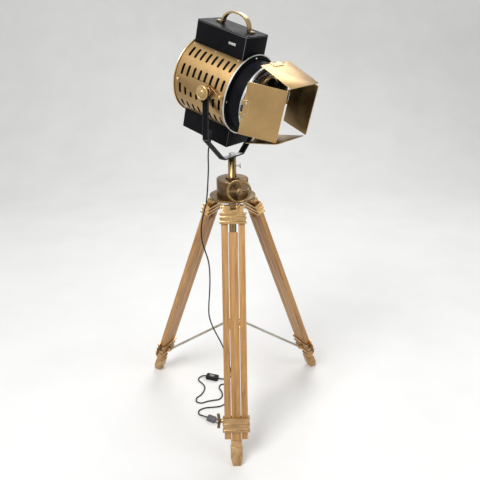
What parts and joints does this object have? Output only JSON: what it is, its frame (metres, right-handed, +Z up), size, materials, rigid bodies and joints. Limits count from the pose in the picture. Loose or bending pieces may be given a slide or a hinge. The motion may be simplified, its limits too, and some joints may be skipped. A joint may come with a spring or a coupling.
{
  "type": "tripod searchlight",
  "caption": "Floor-standing searchlight: pierced brass drum head with hinged doors in a yoke, on a rack-raised column over three folding wooden legs.",
  "frame": {"origin": "centre of the stand's footprint on the floor (bottom centre of the bounding box without the lead)", "axes": "+Z up the column, -Y from the column towards the front leg, +X to the right seen from the front"},
  "size_m": [0.7318, 0.645, 1.5112],
  "materials": {
    "brass": "satin brushed, lightly tarnished",
    "aged_brass": "dark bronze patina",
    "copper_brass": "polished, copper tint",
    "steel": "turned",
    "black_paint": "satin black",
    "grey_paint": "satin silver grey",
    "wood": "oiled teak",
    "clear_glass": "polished",
    "porcelain": "glazed",
    "grey_plastic": "satin",
    "rubber": "matt black"
  },
  "bodies": {
    "stand": {"tripod_crown": "aged_brass", "gear_housing": "aged_brass", "lower_column_bush": "brass", "upper_column_bush": "brass", "power_cord": "rubber", "inline_switch": "rubber", "switch_to_plug_cord": "rubber", "mains_plug": "rubber"},
    "front_leg": {"front_leg_bracket": "copper_brass", "front_leg_rails": "wood", "front_leg_clamp": "aged_brass"},
    "front_leg_extension": {"front_leg_strip": "wood", "front_foot": "aged_brass"},
    "front_clamp_screw": {"front_wing_screw": "aged_brass"},
    "front_spreader": {"front_spreader_arm": "brass"},
    "right_leg": {"right_leg_bracket": "copper_brass", "right_leg_rails": "wood", "right_leg_clamp": "aged_brass"},
    "right_leg_extension": {"right_leg_strip": "wood", "right_foot": "aged_brass"},
    "right_clamp_screw": {"right_wing_screw": "aged_brass"},
    "right_spreader": {"right_spreader_arm": "brass"},
    "left_leg": {"left_leg_bracket": "copper_brass", "left_leg_rails": "wood", "left_leg_clamp": "aged_brass"},
    "left_leg_extension": {"left_leg_strip": "wood", "left_foot": "aged_brass"},
    "left_clamp_screw": {"left_wing_screw": "aged_brass"},
    "left_spreader": {"left_spreader_arm": "brass"},
    "spreader_hub": {"spreader_hub": "brass"},
    "column": {"column": "aged_brass"},
    "handwheel": {"pinion_shaft": "steel", "handwheel": "aged_brass", "wheel_grip": "aged_brass"},
    "swivel_lock": {"swivel_lock_screw": "steel"},
    "yoke": {"yoke": "black_paint", "swivel_bolt": "steel"},
    "lamp_head": {"left_side_plate": "brass", "right_side_plate": "brass", "left_drum_shell": "brass", "right_drum_shell": "brass", "rear_cover": "brass", "vent_box": "black_paint", "vent_box_lid": "black_paint", "carrying_handle": "aged_brass", "lamp_box": "black_paint", "front_ring": "black_paint", "lens_barrel": "grey_paint", "lens": "clear_glass", "reflector": "steel", "lamp_socket": "porcelain", "bulb": "clear_glass", "cord_strain_relief": "rubber"},
    "left_knob": {"left_tilt_knob": "brass"},
    "right_knob": {"right_tilt_knob": "brass"},
    "top_door": {"top_barn_door": "brass"},
    "right_door": {"right_barn_door": "brass"},
    "bottom_door": {"bottom_barn_door": "brass"},
    "left_door": {"left_barn_door": "brass"},
    "rocker": {"switch_rocker": "grey_plastic"}
  },
  "joints": [
    {"name": "front_leg_fold", "type": "hinge", "parent": "stand", "child": "front_leg", "pos_m": [0, 0.01735, 0.865], "axis": [1, 0, 0], "range_deg": [0, 20]},
    {"name": "front_leg_slide", "type": "slide", "parent": "front_leg", "child": "front_leg_extension", "axis": [0, -0.3536, -0.9354], "range_m": [0, 0.35]},
    {"name": "front_wing_screw_turn", "type": "hinge", "parent": "front_leg", "child": "front_clamp_screw", "pos_m": [-0.055, -0.25413, 0.14686], "axis": [-1, 0, 0], "range_deg": [-180, 180]},
    {"name": "front_spreader_pivot", "type": "hinge", "parent": "front_leg", "child": "front_spreader", "pos_m": [0, -0.23946, 0.11779], "axis": [1, 0, 0], "range_deg": [0, 28.5]},
    {"name": "right_leg_fold", "type": "hinge", "parent": "stand", "child": "right_leg", "pos_m": [0.06495, 0.12985, 0.865], "axis": [-0.5, 0.866, 0], "range_deg": [0, 20]},
    {"name": "right_leg_slide", "type": "slide", "parent": "right_leg", "child": "right_leg_extension", "axis": [0.3062, 0.1768, -0.9354], "range_m": [0, 0.35]},
    {"name": "right_wing_screw_turn", "type": "hinge", "parent": "right_leg", "child": "right_clamp_screw", "pos_m": [0.32756, 0.21796, 0.14686], "axis": [0.5, -0.866, 0], "range_deg": [-180, 180]},
    {"name": "right_spreader_pivot", "type": "hinge", "parent": "right_leg", "child": "right_spreader", "pos_m": [0.28736, 0.25826, 0.11779], "axis": [-0.5, 0.866, 0], "range_deg": [0, 28.5]},
    {"name": "left_leg_fold", "type": "hinge", "parent": "stand", "child": "left_leg", "pos_m": [-0.06495, 0.12985, 0.865], "axis": [-0.5, -0.866, 0], "range_deg": [0, 20], "deforming": ["switch_to_plug_cord"]},
    {"name": "left_leg_slide", "type": "slide", "parent": "left_leg", "child": "left_leg_extension", "axis": [-0.3062, 0.1768, -0.9354], "range_m": [0, 0.35]},
    {"name": "left_wing_screw_turn", "type": "hinge", "parent": "left_leg", "child": "left_clamp_screw", "pos_m": [-0.32756, 0.21796, 0.14686], "axis": [-0.5, -0.866, 0], "range_deg": [-180, 180]},
    {"name": "left_spreader_pivot", "type": "hinge", "parent": "left_leg", "child": "left_spreader", "pos_m": [-0.28736, 0.25826, 0.11779], "axis": [-0.5, -0.866, 0], "range_deg": [0, 28.5]},
    {"name": "spreader_hub_slide", "type": "slide", "parent": "stand", "child": "spreader_hub", "axis": [0, 0, 1], "range_m": [0, 0.11]},
    {"name": "column_lift", "type": "slide", "parent": "stand", "child": "column", "axis": [0, 0, 1], "range_m": [-0.01, 0.2], "deforming": ["power_cord"]},
    {"name": "handwheel_turn", "type": "hinge", "parent": "stand", "child": "handwheel", "pos_m": [0.0225, 0.00035, 0.929], "axis": [0, 1, 0], "range_deg": [-60, 960]},
    {"name": "swivel_lock_turn", "type": "hinge", "parent": "column", "child": "swivel_lock", "pos_m": [0, 0.09235, 0.995], "axis": [1, 0, 0], "range_deg": [-180, 180]},
    {"name": "head_pan", "type": "hinge", "parent": "column", "child": "yoke", "pos_m": [0, 0.09235, 1.03], "axis": [0, 0, 1], "range_deg": [-175, 175]},
    {"name": "head_tilt", "type": "hinge", "parent": "yoke", "child": "lamp_head", "pos_m": [0.00773, 0.08601, 1.272], "axis": [-0.6347, -0.7727, 0], "range_deg": [-25, 40]},
    {"name": "left_tilt_knob_turn", "type": "hinge", "parent": "lamp_head", "child": "left_knob", "pos_m": [0.10611, 0.20578, 1.272], "axis": [0.6347, 0.7727, 0], "range_deg": [-180, 180]},
    {"name": "right_tilt_knob_turn", "type": "hinge", "parent": "lamp_head", "child": "right_knob", "pos_m": [-0.09066, -0.03377, 1.272], "axis": [-0.6347, -0.7727, 0], "range_deg": [-180, 180]},
    {"name": "top_door_hinge", "type": "hinge", "parent": "lamp_head", "child": "top_door", "pos_m": [0.13787, -0.0209, 1.35861], "axis": [-0.6347, -0.7727, 0], "range_deg": [0, 90]},
    {"name": "right_door_hinge", "type": "hinge", "parent": "lamp_head", "child": "right_door", "pos_m": [0.0322, -0.09974, 1.23458], "axis": [-0.1909, 0.1568, -0.969], "range_deg": [0, 90]},
    {"name": "bottom_door_hinge", "type": "hinge", "parent": "lamp_head", "child": "bottom_door", "pos_m": [0.08901, 0.01924, 1.11055], "axis": [0.6347, 0.7727, 0], "range_deg": [0, 90]},
    {"name": "left_door_hinge", "type": "hinge", "parent": "lamp_head", "child": "left_door", "pos_m": [0.19469, 0.09808, 1.23458], "axis": [0.1909, -0.1568, 0.969], "range_deg": [0, 90]},
    {"name": "switch_rocker_tip", "type": "hinge", "parent": "stand", "child": "rocker", "pos_m": [-0.1023, 0.19875, 0.014], "axis": [-0.342, -0.9397, 0], "range_deg": [0, 10]}
  ],
  "couplings": [
    {"joint": "front_spreader_pivot", "follows": "front_leg_fold", "ratio": 1.4121},
    {"joint": "right_leg_fold", "follows": "front_leg_fold", "ratio": 1},
    {"joint": "right_spreader_pivot", "follows": "front_leg_fold", "ratio": 1.4121},
    {"joint": "left_leg_fold", "follows": "front_leg_fold", "ratio": 1},
    {"joint": "left_spreader_pivot", "follows": "front_leg_fold", "ratio": 1.4121},
    {"joint": "spreader_hub_slide", "follows": "front_leg_fold", "m_per_rad": 0.30408},
    {"joint": "handwheel_turn", "follows": "column_lift", "rad_per_m": 83.333}
  ]
}
